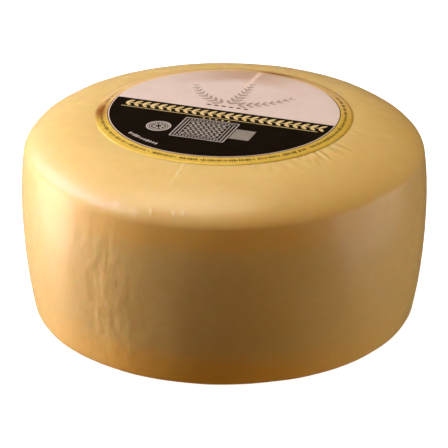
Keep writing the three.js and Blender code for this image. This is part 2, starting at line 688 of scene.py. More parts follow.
@dataclass(frozen=True)
class FineRelief:
    """Upright streaks on the wall, wrinkles that fan out from the label and narrow folds on the shoulder.

    The meshes take the streaks and the wrinkles, and the rind's finish takes all three.
    """

    wheel_radius: float = 125 * MM
    streak_angle: float = 237.0
    streak_half_width: float = 18 * MM
    streak_level: float = 50 * MM
    streak_half_height: float = 46 * MM
    streak_cell: float = 6 * MM
    streak_stretch: tuple[float, float, float] = (1.0, 1.0, 0.3)
    streak_share: float = 0.7
    blotch_cell: float = 3.6 * MM
    blotch_stretch: tuple[float, float, float] = (1.0, 1.0, 0.6)
    blotch_share: float = 0.7
    streak_depth: float = 0.28 * MM
    top_from: float = 90 * MM
    top_to: float = 95 * MM
    fan_angle: float = -45.0
    fan_half_angle: float = 22.0
    fan_from: float = 78.8 * MM
    fan_edge: tuple[float, float] = (-0.3 * MM, 1.0 * MM)
    fan_full: float = 3 * MM
    fan_reach: float = 17 * MM
    fan_height: float = 0.5 * MM
    fan_elsewhere: float = 0.1
    fan_ridges: float = 11.0
    ridge_changes: float = 0.8
    ridge_sharpness: float = 3.0
    folds: tuple[Fold, ...] = (
        Fold((-22.4, -75.6), (-26.4, -86.8), 0.8, 0.16),
        Fold((-26.4, -86.8), (-30.0, -95.0), 1.0, 0.08),
        Fold((18.4, -76.0), (16.6, -79.0), 0.8, 0.14),
        Fold((22.6, -75.0), (21.4, -77.6), 0.8, 0.14),
        Fold((-41.2, -111.2), (-40.8, -112.0), 0.9, 0.26),
        Fold((-28.2, -114.6), (-27.9, -115.6), 0.9, 0.24),
        Fold((-22.2, -115.0), (-22.6, -115.9), 0.8, 0.2),
        Fold((-52.0, -108.2), (-49.6, -109.6), 1.3, 0.12),
        Fold((-61.4, -100.9), (-60.6, -101.9), 1.2, 0.14),
    )

    def streaks(self, tree: Graph, place: Place) -> Field:
        """Raises the upright streaks on the wall.

        Args:
            tree: The tree or surface that it is for.
            place: Where the point is.

        Returns:
            The height in metres.
        """
        along = place.turned_from(self.streak_angle) * self.wheel_radius
        up = place.z - self.streak_level
        zone = along.bell(self.streak_half_width) * up.bell(self.streak_half_height)
        drawn_out = tree.scaled(place.vector, self.streak_stretch)
        lines = tree.noise(drawn_out, self.streak_cell, detail=1.0, rough=0.4)
        rounder = tree.scaled(place.vector, self.blotch_stretch)
        blotches = tree.noise(rounder, self.blotch_cell, detail=1.0)
        return (lines * self.streak_share + blotches * self.blotch_share) * zone * self.streak_depth

    def wrinkles(self, tree: Graph, place: Place) -> Field:
        """Raises the wrinkles that fan out from the label's edge.

        Args:
            tree: The tree or surface that it is for.
            place: Where the point is.

        Returns:
            The height in metres.
        """
        along = place.radius / self.fan_reach * self.ridge_changes
        fan = tree.vector(place.angle * self.fan_ridges, along, 0.0)
        ridges = (1.0 - tree.noise(fan, 1.0, detail=1.0).size() * self.ridge_sharpness).at_least(0.0)
        past = place.radius - self.fan_from
        near = past.step(*self.fan_edge) * past.step(self.fan_reach, self.fan_full)
        middle = place.facing(self.fan_angle, self.fan_half_angle)
        here = middle * (1.0 - self.fan_elsewhere) + self.fan_elsewhere
        return ridges * near * here * place.z.step(self.top_from, self.top_to) * self.fan_height

    def folded(self, place: Place) -> Field:
        """Raises the folds on the shoulder.

        Args:
            place: Where the point is.

        Returns:
            The height in metres.
        """
        total: Number = 0.0
        for fold in self.folds:
            total = total + fold.stands_out(place)
        return total * place.z.step(self.top_from, self.top_to)


@dataclass(frozen=True)
class RindRelief:
    """The rind's swells between the wheel's long waves, with the broad part of the fine relief."""

    swell: float = 0.5 * MM
    swell_cell: float = 38 * MM
    swell_stretch: tuple[float, float, float] = (1.0, 1.0, 0.7)
    mottle: float = 0.1 * MM
    mottle_cell: float = 8 * MM
    smooth_radius: float = 80 * MM
    rough_radius: float = 100 * MM
    flat_level: float = 5 * MM
    fine: FineRelief = FineRelief()

    def height(self, tree: ShapeTree) -> Field:
        """Returns how far the rind stands out at each point.

        Args:
            tree: The tree that it is for.

        Returns:
            The height.
        """
        place = Place(tree, tree.position())
        drawn_out = tree.scaled(place.vector, self.swell_stretch)
        swell = tree.noise(drawn_out, self.swell_cell, detail=1.0) * self.swell
        mottle = tree.noise(place.vector, self.mottle_cell, detail=2.0) * self.mottle
        free = place.radius.step(self.smooth_radius, self.rough_radius) * place.z.step(0.0, self.flat_level)
        return (swell + mottle + self.fine.streaks(tree, place)) * free + self.fine.wrinkles(tree, place)


@dataclass
class CheeseBody:
    """The cheese itself, just inside its film."""

    form: WheelForm
    relief: RindRelief
    finish: Material
    sides: int = 480
    inset: float = 0.18 * MM

    def build(self) -> Object:
        """Turns the cheese.

        Returns:
            The cheese as one closed mesh.
        """
        tree = TurnedTree("turned cheese", self.form)
        tree.close(tree.skinned(self.relief.height(tree)))
        name = "cheese_body"
        return new_object(name, tree.turned(name, self.form.outline(), self.finish, self.sides, -self.inset))


@dataclass
class ShrinkFilm:
    """The clear film: it hugs the rind, rises over the label's edge and is drawn into one long pleat."""

    form: WheelForm
    relief: RindRelief
    finish: Material
    label_radius: float = 78.5 * MM
    sides: int = 480
    label_rise: float = 0.24 * MM
    tent_outer: float = 2.6 * MM
    tent_inner: float = 0.2 * MM
    top_from: float = 90 * MM
    top_to: float = 100 * MM
    pleat: Line = ((23.6 * MM, 62.9 * MM), (13.9 * MM, 41.8 * MM))
    pleat_width: float = 1.6 * MM
    pleat_height: float = 0.3 * MM

    def build(self) -> Object:
        """Makes the film.

        Returns:
            The film as one closed skin.
        """
        tree = TurnedTree("shrink film", self.form)
        place = Place(tree, tree.position())
        upper = place.z.step(self.top_from, self.top_to)
        outer = self.label_radius + self.tent_outer
        inner = self.label_radius + self.tent_inner
        over = place.radius.step(outer, inner) * self.label_rise
        pleat = place.off_line(*self.pleat).bell(self.pleat_width) * self.pleat_height
        tree.close(tree.skinned(self.relief.height(tree) + upper * (over + pleat)))
        name = "clear_film"
        return new_object(name, tree.turned(name, self.form.outline(), self.finish, self.sides))


# The label

@dataclass(frozen=True)
class LabelLayout:
    """The label's frame: along runs with its dividing line, and up runs square to it towards the back."""

    turn: float = -20.13
    radius: float = 78.5 * MM
    ring_inner: float = 71.0 * MM
    dark_inner: float = 70.4 * MM
    pale_inner: float = 69.8 * MM
    divide: float = 1.2 * MM
    divide_line: float = 0.6 * MM

    def spot(self, along: float, up: float) -> Spot:
        """Places a spot of the label, given in millimetres.

        Args:
            along: How far it lies along the dividing line.
            up: How far it lies to the back.

        Returns:
            Its x and y in metres.
        """
        angle = math.radians(self.turn)
        x = along * math.cos(angle) - up * math.sin(angle)
        y = along * math.sin(angle) + up * math.cos(angle)
        return x * MM, y * MM

    def across(self) -> Vector:
        """Returns the direction that runs square to the dividing line, towards the back."""
        return Vector((*self.spot(0.0, 1 / MM), 0.0)).normalized()


class LabelField(Enum):
    """The printed fields of the label, in the order of the paper's material slots."""

    CREAM = 0
    BLACK = 1
    PALE_LINE = 2
    DARK_LINE = 3
    RING = 4


@dataclass
class LabelPaper:
    """The round paper label, with its fields of colour."""

    form: WheelForm
    layout: LabelLayout
    finishes: dict[LabelField, Material]
    sides: int = 300
    underside: float = -0.1 * MM
    thickness: float = 0.2 * MM
    inner_steps: int = 22
    ring_steps: int = 4
    edge_slack: float = 0.1 * MM

    def build(self) -> Object:
        """Makes the paper.

        Returns:
            The label as one closed mesh with a slot for each field.
        """
        tree = TurnedTree("turned paper", self.form)
        tree.close(tree.skinned(0.0))
        name = "label_paper"
        mesh = tree.turned(name, self._outline(), self.finishes[LabelField.CREAM], self.sides)
        self._divide(mesh)
        return new_object(name, mesh)

    def _outline(self) -> list[Spot]:
        """Draws the paper's outline from the middle of its underside round to the middle of its top.

        Returns:
            The outline, as radius and level.
        """
        layout = self.layout
        width = layout.radius - layout.ring_inner
        inner = [layout.pale_inner * i / self.inner_steps for i in range(self.inner_steps + 1)]
        ring = [layout.ring_inner + width * i / self.ring_steps for i in range(self.ring_steps + 1)]
        radii = [*inner, layout.dark_inner, *ring]
        levels = [(radius, self.form.top_level(radius)) for radius in radii]
        under = [(radius, level + self.underside) for radius, level in levels]
        over = [(radius, level + self.underside + self.thickness) for radius, level in levels]
        return under + over[::-1]

    def _divide(self, mesh: Mesh) -> None:
        """Cuts the dividing line into the paper and gives each face the slot of its field.

        Args:
            mesh: The turned paper.
        """
        layout = self.layout
        across = layout.across()
        low = layout.divide
        high = layout.divide + layout.divide_line
        mesh.materials.clear()
        for part in LabelField:
            mesh.materials.append(self.finishes[part])
        shape = bmesh.new()
        shape.from_mesh(mesh)
        for level in (low, high):
            parts = [*shape.verts, *shape.edges, *shape.faces]
            bmesh.ops.bisect_plane(shape, geom=parts, plane_co=across * level, plane_no=across)
        for face in shape.faces:
            middle = face.calc_center_median()
            up = middle.dot(across)
            face.material_index = self._field_at(middle.xy.length, up, low, high).value
        shape.to_mesh(mesh)
        shape.free()

    def _field_at(self, radius: float, up: float, low: float, high: float) -> LabelField:
        """Finds the field that a face belongs to.

        Args:
            radius: The distance of the face's middle from the label's middle.
            up: How far it lies to the back.
            low: Where the dividing line starts.
            high: Where the dividing line ends.

        Returns:
            The field.
        """
        layout = self.layout
        if radius > layout.ring_inner - self.edge_slack:
            return LabelField.RING
        if radius > layout.dark_inner:
            return LabelField.DARK_LINE
        if radius > layout.pale_inner or low < up < high:
            return LabelField.PALE_LINE
        return LabelField.CREAM if up > high else LabelField.BLACK


class DrapedTree(ShapeTree):
    """A print tree, whose shapes are drawn at level 0 and then laid on the label's paper."""

    def __init__(self, name: str) -> None:
        """Starts the tree with the paper as an input.

        Args:
            name: The tree's name.
        """
        super().__init__(name)
        self.paper = self.named("Paper", InputKind.THING)
        self.thickness = self.named("Thickness")

    def even_path(self, length: Field) -> Field:
        """Turns the base's edges into a path whose points lie a length apart."""
        path = self.field("GeometryNodeMeshToCurve", {}, {0: self.base})
        return self.field("GeometryNodeResampleCurve", {"mode": "LENGTH"}, {"Curve": path, "Length": length})

    def draped(self, shape: Field) -> Field:
        """Lays a flat shape on the paper, straight down from above it.

        Args:
            shape: The shape, drawn at level 0.

        Returns:
            The shape on the paper.
        """
        paper = self.field("GeometryNodeObjectInfo", {}, {"Object": self.paper}, output="Geometry")
        x, y, z = self.parts(self.position())
        ray = {
            "Target Geometry": paper,
            "Source Position": self.vector(x, y, RAY_START),
            "Ray Direction": (0.0, 0.0, -1.0),
            "Ray Length": 2 * RAY_START,
        }
        hit = self.field("GeometryNodeRaycast", {}, ray, output="Hit Position")
        _, _, level = self.parts(hit)
        return self.moved(shape, self.vector(x, y, level + z))


class RibbonTree(DrapedTree):
    """Printed lines of one width along paths."""

    def __init__(self) -> None:
        """Builds the tree."""
        super().__init__("printed lines")
        width = self.named("Width")
        step = self.named("Step")
        level = self.field("GeometryNodeSetCurveNormal", {"mode": "Z_UP"}, {"Curve": self.even_path(step)})
        box = {"Width": width, "Height": self.thickness}
        section = self.field("GeometryNodeCurvePrimitiveQuadrilateral", {}, box)
        sweep = {"Curve": level, "Profile Curve": section, "Fill Caps": True}
        self.close(self.draped(self.field("GeometryNodeCurveToMesh", {}, sweep)), smooth=False)


class MotifTree(DrapedTree):
    """Small printed motifs in rows along paths: leaves, lozenges or beads."""

    drum_sides: int = 16

    def __init__(self) -> None:
        """Builds the tree."""
        super().__init__("printed motifs")
        spacing = self.named("Spacing")
        self._length = self.named("Length")
        self._width = self.named("Width")
        self._end_power = self.named("End power")
        self._side_power = self.named("Side power")
        self._anchor = self.named("Anchor")
        turn = self.named("Turn")
        taper = self.named("Taper")
        spread = self.named("Spread")
        gaps = self.named("Gaps")
        seed = self.named("Seed", InputKind.COUNT)
        even = self.even_path(spacing)
        run_x, run_y, _ = self.parts(self.field("GeometryNodeInputTangent"))
        heading = self.vector(0.0, 0.0, self.maths("ARCTAN2", run_y, run_x) + turn)
        share = self.field("GeometryNodeSplineParameter")
        any_size = {2: 1.0 - spread, 3: 1.0 + spread, "Seed": seed}
        size = self.field("FunctionNodeRandomValue", {"data_type": "FLOAT"}, any_size, output=1)
        kept = {"Probability": 1.0 - gaps, "Seed": seed + 1.0}
        chosen = self.field("FunctionNodeRandomValue", {"data_type": "BOOLEAN"}, kept, output=3)
        size = size * (1.0 - share * taper)
        inputs = {
            "Points": even,
            "Selection": chosen,
            "Instance": self._motif(),
            "Rotation": self.field("FunctionNodeEulerToRotation", {}, {0: heading}),
            "Scale": self.vector(size, size, 1.0),
        }
        rows = self.field("GeometryNodeInstanceOnPoints", {}, inputs)
        self.close(self.draped(self.realized(rows)), smooth=False)

    def _motif(self) -> Field:
        """Makes one motif of a low drum: its powers make it round, pointed or a lozenge.

        Returns:
            The motif, lying along X.
        """
        size = {"Vertices": self.drum_sides, "Radius": 1.0, "Depth": self.thickness}
        drum = self.field("GeometryNodeMeshCylinder", {"fill_type": "NGON"}, size)
        place = Place(self, self.position())
        x = (place.angle.cos().sharpened(self._end_power) + self._anchor) * self._length / 2.0
        y = place.angle.sin().sharpened(self._side_power) * self._width / 2.0
        return self.moved(drum, self.vector(x, y, place.z))


@dataclass(frozen=True)
class Motif:
    """One kind of motif and how its rows are set. Lengths are in millimetres, and the turn is in degrees.

    The last is smaller than the first by the taper, sizes differ by the spread, and the gaps are left out.
    All three are shares.
    """

    length: float
    width: float
    spacing: float
    end_power: float = 1.0
    side_power: float = 1.0
    anchor: float = 0.0
    turn: float = 0.0
    taper: float = 0.0
    spread: float = 0.0
    gaps: float = 0.0
    seed: int = 1


class Motifs(Enum):
    """The motifs of the print."""

    BORDER_LEAF = Motif(6.0, 2.4, 5.2, side_power=1.7, anchor=1.0, turn=48.0)
    BORDER_BEAD = Motif(1.5, 1.5, 4.0)
    RING_MARK = Motif(0.75, 1.8, 1.4, end_power=0.8, side_power=0.8, spread=0.35, gaps=0.16, seed=4)
    SEAL_PETAL = Motif(2.6, 1.5, 1.18, side_power=1.4, anchor=1.0, turn=-90.0)
    SEAL_BEAD = Motif(1.0, 1.0, 1.5)
    LATTICE_LOZENGE = Motif(2.7, 1.7, 3.1, end_power=1.9, side_power=1.9)
    PANEL_SQUARE = Motif(1.5, 1.5, 1.9, end_power=2.0, side_power=2.0)
    SPRIG_LEAF = Motif(7.0, 2.2, 4.6, side_power=1.7, anchor=1.0, turn=42.0, taper=0.55)
    DARK_LOZENGE = Motif(3.6, 2.0, 4.0, end_power=1.8, side_power=1.8)
    PALE_DASH = Motif(1.5, 2.6, 2.2, end_power=0.7, side_power=0.7, spread=0.2, gaps=0.12, seed=9)


@dataclass(frozen=True)
class Sprig:
    """A curved sprig. The bend is how far the middle of its curve is drawn aside."""

    foot: Spot
    tip: Spot
    bend: float


@dataclass
class Print:
    """What is printed on the fields of the label: all of it generic ornament.

    The spots, radii, widths and insets of its pieces are in millimetres, in the label's frame. The panel is
    given by its left, right, low and high edges.
    """

    layout: LabelLayout
    paper: Object
    gold: Material
    pale: Material
    grey: Material
    dark: Material
    fading: Material
    soft: Material
    thickness: float = 0.12 * MM
    line_step: float = 1.5 * MM
    border_stem: Line = ((-61.5, -5.7), (62.5, -5.7))
    border_rule: Line = ((-62.5, -11.6), (63.5, -11.6))
    border_beads: Line = ((-7.5, -14.2), (8.5, -14.2))
    ring_marks_inset: float = 4.4
    seal: Spot = (-28.6, -35.0)
    seal_radii: tuple[float, float, float, float] = (7.2, 6.1, 4.9, 1.5)
    panel: tuple[float, float, float, float] = (-17.6, 16.0, -45.8, -16.4)
    panel_lines: tuple[tuple[float, float], ...] = ((0.0, 0.7), (4.2, 0.5))
    panel_squares_inset: float = 2.1
    lattice_inset: float = 6.2
    lattice_right_inset: float = 7.6
    lattice_shift: float = 1.3
    lattice_rows: int = 9
    patch: Line = ((23.3, -38.8), (23.3, -24.0))
    patch_width: float = 12.4
    pale_row: tuple[Spot, ...] = ((-40.4, -50.4), (-30.4, -56.6), (-20.0, -60.8))
    dark_row: Line = ((-12.5, 7.8), (11.5, 7.8))
    sprigs: tuple[Sprig, ...] = (
        Sprig((-5.6, 12.7), (-31.0, 35.0), 7.0),
        Sprig((-0.5, 12.7), (1.5, 47.0), -2.0),
        Sprig((4.5, 12.7), (31.6, 33.0), -7.0),
    )
    sprig_steps: int = 14
    lines: RibbonTree = field(default_factory=RibbonTree)
    motifs: MotifTree = field(default_factory=MotifTree)

    def build(self) -> list[Object]:
        """Prints the label.

        Returns:
            The printed pieces.
        """
        return [
            self._border(),
            self._ring_marks(),
            self._seal(),
            self._panel(),
            self._patch(),
            self._pale_row(),
            self._sprigs(),
            self._dark_row(),
        ]

    def _path(self, *spots: Spot) -> Mesh:
        """Makes a path through spots of the label, in millimetres."""
        return edge_mesh("path", [self.layout.spot(*spot) for spot in spots])

    def _circle(self, middle: Spot, radius: float, sides: int = 72) -> Mesh:
        """Makes a round path in the label's frame, in millimetres.

        Args:
            middle: Its middle.
            radius: Its radius.
            sides: How many straight sides it has.

        Returns:
            The path.
        """
        turns = [TURN * i / sides for i in range(sides)]
        spots = [(middle[0] + radius * math.cos(t), middle[1] + radius * math.sin(t)) for t in turns]
        return edge_mesh("circle", [self.layout.spot(*spot) for spot in spots], closed=True)

    def _line(self, path: Mesh, finish: Material, width: float) -> Mesh:
        """Prints a line along a path.

        Args:
            path: The path.
            finish: The print's finish.
            width: The line's width in millimetres.

        Returns:
            The line's mesh.
        """
        values = {
            "Finish": finish,
            "Paper": self.paper,
            "Thickness": self.thickness,
            "Width": width * MM,
            "Step": self.line_step,
        }
        return self.lines.mesh("line", path, values)

    def _row(self, path: Mesh, finish: Material, kind: Motifs, mirrored: bool = False) -> Mesh:
        """Prints a row of motifs along a path.

        Args:
            path: The path.
            finish: The print's finish.
            kind: The motif.
            mirrored: Whether each is turned to the path's other side.

        Returns:
            The row's mesh.
        """
        motif = kind.value
        values = {
            "Finish": finish,
            "Paper": self.paper,
            "Thickness": self.thickness,
            "Spacing": motif.spacing * MM,
            "Length": motif.length * MM,
            "Width": motif.width * MM,
            "End power": motif.end_power,
            "Side power": motif.side_power,
            "Anchor": motif.anchor,
            "Turn": math.radians(-motif.turn if mirrored else motif.turn),
            "Taper": motif.taper,
            "Spread": motif.spread,
            "Gaps": motif.gaps,
            "Seed": motif.seed,
        }
        return self.motifs.mesh(kind.name.lower(), path, values)

    def _stalk(self, path: Mesh, finish: Material, kind: Motifs, width: float) -> list[Mesh]:
        """Prints a line with a row of leaves on each side of it."""
        rows = [self._row(path, finish, kind, mirrored) for mirrored in (False, True)]
        return [self._line(path, finish, width), *rows]

    def _border(self) -> Object:
        """Prints the gold leaf border under the dividing line.

        Returns:
            The printed piece.
        """
        meshes = [
            *self._stalk(self._path(*self.border_stem), self.gold, Motifs.BORDER_LEAF, width=0.7),
            self._line(self._path(*self.border_rule), self.gold, width=0.6),
            self._row(self._path(*self.border_beads), self.gold, Motifs.BORDER_BEAD),
        ]
        return joined("gold_border", meshes)

    def _ring_marks(self) -> Object:
        """Prints the small dark marks round the ring.

        Returns:
            The printed piece.
        """
        radius = self.layout.radius / MM - self.ring_marks_inset
        path = self._circle((0.0, 0.0), radius, sides=240)
        return joined("ring_marks", [self._row(path, self.fading, Motifs.RING_MARK)])

    def _seal(self) -> Object:
        """Prints the pale rosette on the black field.

        Returns:
            The printed piece.
        """
        rim, beads, inner, petals = (self._circle(self.seal, radius) for radius in self.seal_radii)
        meshes = [
            self._line(rim, self.pale, width=0.9),
            self._row(beads, self.pale, Motifs.SEAL_BEAD),
            self._line(inner, self.pale, width=0.6),
            self._row(petals, self.pale, Motifs.SEAL_PETAL),
        ]
        return joined("seal_rosette", meshes)

    def _panel_sides(self, inset: float) -> list[Mesh]:
        """Makes paths along the four sides of the panel, moved inwards by an inset.

        Args:
            inset: How far they lie inside the panel's edge, in millimetres.

        Returns:
            The paths.
        """
        left, right, low, high = self.panel
        a, b, c, d = left + inset, right - inset, low + inset, high - inset
        sides = (((a, c), (b, c)), ((a, d), (b, d)), ((a, c), (a, d)), ((b, c), (b, d)))
        return [self._path(*side) for side in sides]

    def _lattice_paths(self) -> list[Mesh]:
        """Makes a path for each row of the lattice. Every other row is shifted.

        Returns:
            The paths.
        """
        left, right, low, high = self.panel
        rise = high - low - 2 * self.lattice_inset
        paths = []
        for i in range(self.lattice_rows):
            level = low + self.lattice_inset + rise * i / (self.lattice_rows - 1)
            shift = self.lattice_shift * (i % 2)
            start = left + self.lattice_inset + shift
            end = right - self.lattice_right_inset + shift
            paths.append(self._path((start, level), (end, level)))
        return paths

    def _panel(self) -> Object:
        """Prints the framed lattice panel on the black field.

        Returns:
            The printed piece.
        """
        frames = [
            self._line(side, self.pale, width)
            for inset, width in self.panel_lines
            for side in self._panel_sides(inset)
        ]
        edge = self._panel_sides(self.panel_squares_inset)
        squares = [self._row(side, self.pale, Motifs.PANEL_SQUARE) for side in edge]
        lattice = [self._row(path, self.pale, Motifs.LATTICE_LOZENGE) for path in self._lattice_paths()]
        return joined("lattice_panel", frames + squares + lattice)

    def _patch(self) -> Object:
        """Prints the plain grey square beside the panel."""
        return joined("grey_patch", [self._line(self._path(*self.patch), self.grey, self.patch_width)])

    def _pale_row(self) -> Object:
        """Prints the short row of pale marks near the ring."""
        row = self._row(self._path(*self.pale_row), self.pale, Motifs.PALE_DASH)
        return joined("pale_marks", [row])

    def _sprigs(self) -> Object:
        """Prints the soft grey sprigs on the cream field.

        Returns:
            The printed piece.
        """
        meshes = []
        for sprig in self.sprigs:
            foot = Vector(sprig.foot)
            run = Vector(sprig.tip) - foot
            side = Vector((-run.y, run.x)).normalized() * sprig.bend
            middle = (foot + Vector(sprig.tip)) / 2 + side
            path = self._path(sprig.foot, *bezier([sprig.foot, middle, sprig.tip], self.sprig_steps))
            meshes += self._stalk(path, self.soft, Motifs.SPRIG_LEAF, width=0.5)
        return joined("grey_sprigs", meshes)

    def _dark_row(self) -> Object:
        """Prints the short row of dark lozenges above the dividing line."""
        row = self._row(self._path(*self.dark_row), self.dark, Motifs.DARK_LOZENGE)
        return joined("dark_lozenges", [row])


# Finishes

class Surface(Graph):
    """A material's nodes in the making."""

    def __init__(self, name: str) -> None:
        """Starts an empty material.

        Args:
            name: The material's name.
        """
        self._material = bpy.data.materials.new(name)
        self._material.use_nodes = True
        self._material.node_tree.nodes.clear()
        super().__init__(self._material.node_tree)

    def place(self) -> Place:
        """Returns where a point of the surface is on its object."""
        return Place(self, self.field("ShaderNodeTexCoord", {}, {}, output="Object"))

    def bumped(self, height: Field, strength: float = 1.0, distance: float = 1.0) -> Field:
        """Returns the normals of a fine relief, whose height is in metres if both factors are 1."""
        inputs = {"Strength": strength, "Distance": distance, "Height": height}
        return self.field("ShaderNodeBump", {}, inputs)

    def shaded(self, kind: str, inputs: dict[str | int, Any]) -> Material:
        """Ends the nodes with a shader of a type, and returns the material."""
        self.node("ShaderNodeOutputMaterial", {}, {"Surface": self.field(kind, {}, inputs)})
        return self._material


@dataclass(frozen=True)
class RindFinish:
    """The pale golden rind, which lets some light in under its surface.

    Its colour is painted darker and more orange in front, close above the base and under the shoulder:
    painted warm shade.
    """

    pale: Colour = shown(236, 206, 134)
    golden: Colour = shown(228, 195, 116)
    warm_shade: Colour = shown(255, 196, 72)
    warm_shade_angle: float = -93.0
    warm_shade_half_angle: float = 40.0
    base_warm_shade: tuple[float, float] = (34 * MM, 10 * MM)
    base_shade_waver: float = 6 * MM
    base_shade_strength: float = 0.9
    shade_band_level: float = 99 * MM
    shade_band_height: float = 9 * MM
    shade_band_strength: float = 0.6
    cloud_cell: float = 45 * MM
    cloud_share: float = 0.6
    speck_cell: float = 5 * MM
    speck_share: float = 0.35
    scatter: float = 0.7
    scatter_radius: tuple[float, float, float] = (1.0, 0.5, 0.2)
    scatter_scale: float = 5 * MM
    roughness: float = 0.5
    roughness_spread: float = 0.08
    specular: float = 0.3
    grain: float = 0.02 * MM
    grain_cell: float = 2.2 * MM
    fold_glint: Colour = shown(252, 232, 184)
    fold_glint_height: float = 0.42 * MM
    relief: FineRelief = FineRelief()

    def material(self) -> Material:
        """Makes the material.

        Returns:
            The material.
        """
        rind = Surface("golden_rind")
        place = rind.place()
        cloud = rind.noise(place.vector, self.cloud_cell, detail=2.0)
        speck = rind.noise(place.vector, self.speck_cell, detail=3.0)
        tone = cloud * self.cloud_share + speck * self.speck_share + 0.5
        colour = rind.blend(tone, self.pale, self.golden)
        # painted warm shade: the front is coloured darker and more orange close above the base and under the
        # shoulder
        front = place.facing(self.warm_shade_angle, self.warm_shade_half_angle)
        low = (place.z + cloud * self.base_shade_waver).step(*self.base_warm_shade) * self.base_shade_strength
        band = (place.z - self.shade_band_level).bell(self.shade_band_height) * self.shade_band_strength
        colour = rind.blend(front * (low + band), colour, self.warm_shade)
        # painted highlight: the folds are coloured pale for their glints, partly also the whitish look of
        # folded film
        folded = self.relief.folded(place)
        colour = rind.blend(folded / self.fold_glint_height, colour, self.fold_glint)
        grain = rind.noise(place.vector, self.grain_cell, detail=3.0, rough=0.6) * self.grain
        height = grain + folded + self.relief.streaks(rind, place) + self.relief.wrinkles(rind, place)
        inputs = {
            "Base Color": colour,
            "Roughness": cloud * self.roughness_spread + self.roughness,
            "Normal": rind.bumped(height),
            "Subsurface Weight": self.scatter,
            "Subsurface Radius": self.scatter_radius,
            "Subsurface Scale": self.scatter_scale,
            "Specular IOR Level": self.specular,
        }
        return rind.shaded("ShaderNodeBsdfPrincipled", inputs)


@dataclass(frozen=True)
class FilmFinish:
    """The clear film: see-through face on, and a soft gloss that grows at a glancing angle."""

    facing_gloss: float = 0.035
    glancing_gloss: float = 0.41
    glancing_power: float = 5.0
    label_gloss: float = 0.4
    label_edge: tuple[float, float] = (71 * MM, 72 * MM)
    patchiness: float = 0.5
    patch_cell: float = 9 * MM
    roughness: float = 0.3
    unevenness: float = 0.08
    fine: float = 0.032 * MM
    fine_cell: float = 3 * MM

    def material(self) -> Material:
        """Makes the material.

        Returns:
            The material.
        """
        film = Surface("clear_film")
        place = film.place()
        glance = film.field("ShaderNodeLayerWeight", {}, {"Blend": 0.5}, output="Facing")
        patches = film.noise(place.vector, self.patch_cell, detail=3.0, rough=0.6)
        share = glance ** self.glancing_power * self.glancing_gloss + self.facing_gloss
        on_rind = place.radius.step(*self.label_edge) * (1.0 - self.label_gloss) + self.label_gloss
        gloss = share * (patches * self.patchiness + 1.0) * on_rind
        relief = film.noise(place.vector, self.fine_cell, detail=2.0) * self.fine
        sheen = {"Roughness": patches * self.unevenness + self.roughness, "Normal": film.bumped(relief)}
        mirror = film.field("ShaderNodeBsdfGlossy", {}, sheen)
        clear = film.field("ShaderNodeBsdfTransparent")
        return film.shaded("ShaderNodeMixShader", {0: gloss, 1: clear, 2: mirror})


@dataclass(frozen=True)
class InkFinish:
    """Ink on coated paper, a little uneven in tone."""

    name: str
    colour: Colour
    second: Colour
    roughness: float = 0.45
    metallic: float = 0.0
    cell: float = 9 * MM
    specular: float = 0.3
    roughness_spread: float = 0.1
    fibre_cell: float = 0.7 * MM
    fibre_height: float = 0.02 * MM
    fibre_strength: float = 0.2

    def material(self) -> Material:
        """Makes the material.

        Returns:
            The material.
        """
        ink = Surface(self.name)
        place = ink.place()
        tone = ink.noise(place.vector, self.cell, detail=3.0)
        fibre = ink.noise(place.vector, self.fibre_cell, detail=2.0)
        inputs = {
            "Base Color": ink.blend(tone + 0.5, self.colour, self.second),
            "Roughness": tone * self.roughness_spread + self.roughness,
            "Metallic": self.metallic,
            "Normal": ink.bumped(fibre, self.fibre_strength, self.fibre_height),
            "Specular IOR Level": self.specular,
        }
        return ink.shaded("ShaderNodeBsdfPrincipled", inputs)


@dataclass(frozen=True)
class PaintedLightPatch:
    """A soft patch of painted light where the label meets the film. Its angles are in degrees from +X."""

    angle: float
    half_angle: float
    radius: float
    half_width: float
    colour: Colour

    def share(self, place: Place) -> Field:
        """Returns how strong the painted patch is at a place."""
        return place.facing(self.angle, self.half_angle) * (place.radius - self.radius).bell(self.half_width)


# painted reflection in copper brown on the ring's left side
SIDE_REFLECTION_PATCH = PaintedLightPatch(178.0, 10.0, 75.5 * MM, 4.0 * MM, shown(150, 86, 28))
# painted shade in brown at the label's back edge
BACK_SHADE_PATCH = PaintedLightPatch(62.0, 10.5, 73.2 * MM, 3.2 * MM, shown(160, 98, 32))


@dataclass(frozen=True)
class RingFinish:
    """The ring of the label: gold ink in front, which fades into the rind's tone at the back."""

    name: str = "gold_ring"
    gold: Colour = shown(240, 208, 90)
    deep_gold: Colour = shown(228, 190, 74)
    faded: Colour = shown(240, 202, 134)
    gold_to: float = 75.0
    faded_from: float = 118.0
    tone_cell: float = 4 * MM
    roughness: float = 0.4
    metallic: float = 0.15
    specular: float = 0.3

    def material(self) -> Material:
        """Makes the material.

        Returns:
            The material.
        """
        ring = Surface(self.name)
        place = ring.place()
        tone = ring.noise(place.vector, self.tone_cell, detail=2.0)
        gold = ring.blend(tone + 0.5, self.gold, self.deep_gold)
        off_front = place.turned_from(FRONT).size()
        fade = off_front.step(math.radians(self.gold_to), math.radians(self.faded_from))
        colour = ring.blend(fade, gold, self.faded)
        # painted reflection on the ring's left and painted shade at its back edge
        for light_patch in (SIDE_REFLECTION_PATCH, BACK_SHADE_PATCH):
            colour = ring.blend(light_patch.share(place), colour, light_patch.colour)
        inputs = {
            "Base Color": colour,
            "Roughness": self.roughness,
            "Metallic": (1.0 - fade) * self.metallic if self.metallic else 0.0,
            "Specular IOR Level": self.specular,
        }
        return ring.shaded("ShaderNodeBsdfPrincipled", inputs)


